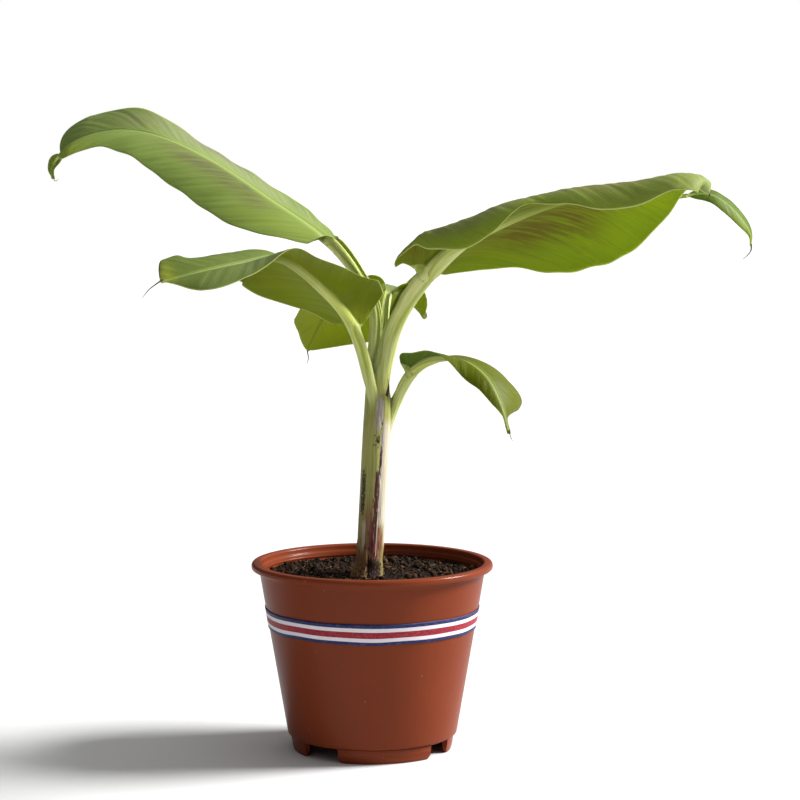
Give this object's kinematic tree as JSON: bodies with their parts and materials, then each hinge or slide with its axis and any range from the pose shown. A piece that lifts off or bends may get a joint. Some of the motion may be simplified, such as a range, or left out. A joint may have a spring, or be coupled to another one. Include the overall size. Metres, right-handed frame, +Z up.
{
  "type": "potted young banana plant",
  "caption": "Young banana plant in a round plastic nursery pot: a short sheathed stem with long arching leaves on tapering stalks.",
  "frame": {"origin": "middle of the plant's overall box in plan, on the ground that the pot's feet stand on; the pot's own axis is 21 mm towards -X and 15 mm towards +Y of it", "axes": "+Z up; +X to the right and +Y away, seen from the front, the side the two largest forward leaves lean to"},
  "size_m": [0.5896, 0.3728, 0.5013],
  "materials": {
    "pot_plastic": "injection-moulded terracotta-brown plastic, satin, fine turning marks",
    "ribbon_print": "printed ribbon in blue, white, red, white and blue stripes",
    "mix": "moist dark brown potting mix of crumbs and fibres",
    "stem_sheath": "overlapping leaf sheaths, yellow green to cream with purple and brown streaks",
    "stalk": "smooth pale green leaf stalk with a channelled upper side",
    "leaf_blade": "satin green blade with parallel side veins, a pale midrib and faint purple-brown blotches"
  },
  "bodies": {
    "root": {"pot": "pot_plastic", "ribbon_band": "ribbon_print", "potting_mix": "mix", "pseudostem": "stem_sheath", "leaf_a_petiole": "stalk", "leaf_a_blade_inner": "leaf_blade", "leaf_a_blade_outer": "leaf_blade", "leaf_a_tip": "leaf_blade", "leaf_b_petiole": "stalk", "leaf_b_blade_inner": "leaf_blade", "leaf_b_blade_outer": "leaf_blade", "leaf_c_petiole": "stalk", "leaf_c_blade_inner": "leaf_blade", "leaf_c_blade_outer": "leaf_blade", "leaf_d_petiole": "stalk", "leaf_d_blade_inner": "leaf_blade", "leaf_d_blade_outer": "leaf_blade", "leaf_e_petiole": "stalk", "leaf_e_blade_inner": "leaf_blade", "leaf_e_blade_outer": "leaf_blade", "leaf_f_petiole": "stalk", "leaf_f_blade_inner": "leaf_blade", "leaf_f_blade_outer": "leaf_blade", "leaf_f_tip": "leaf_blade"}
  },
  "joints": []
}
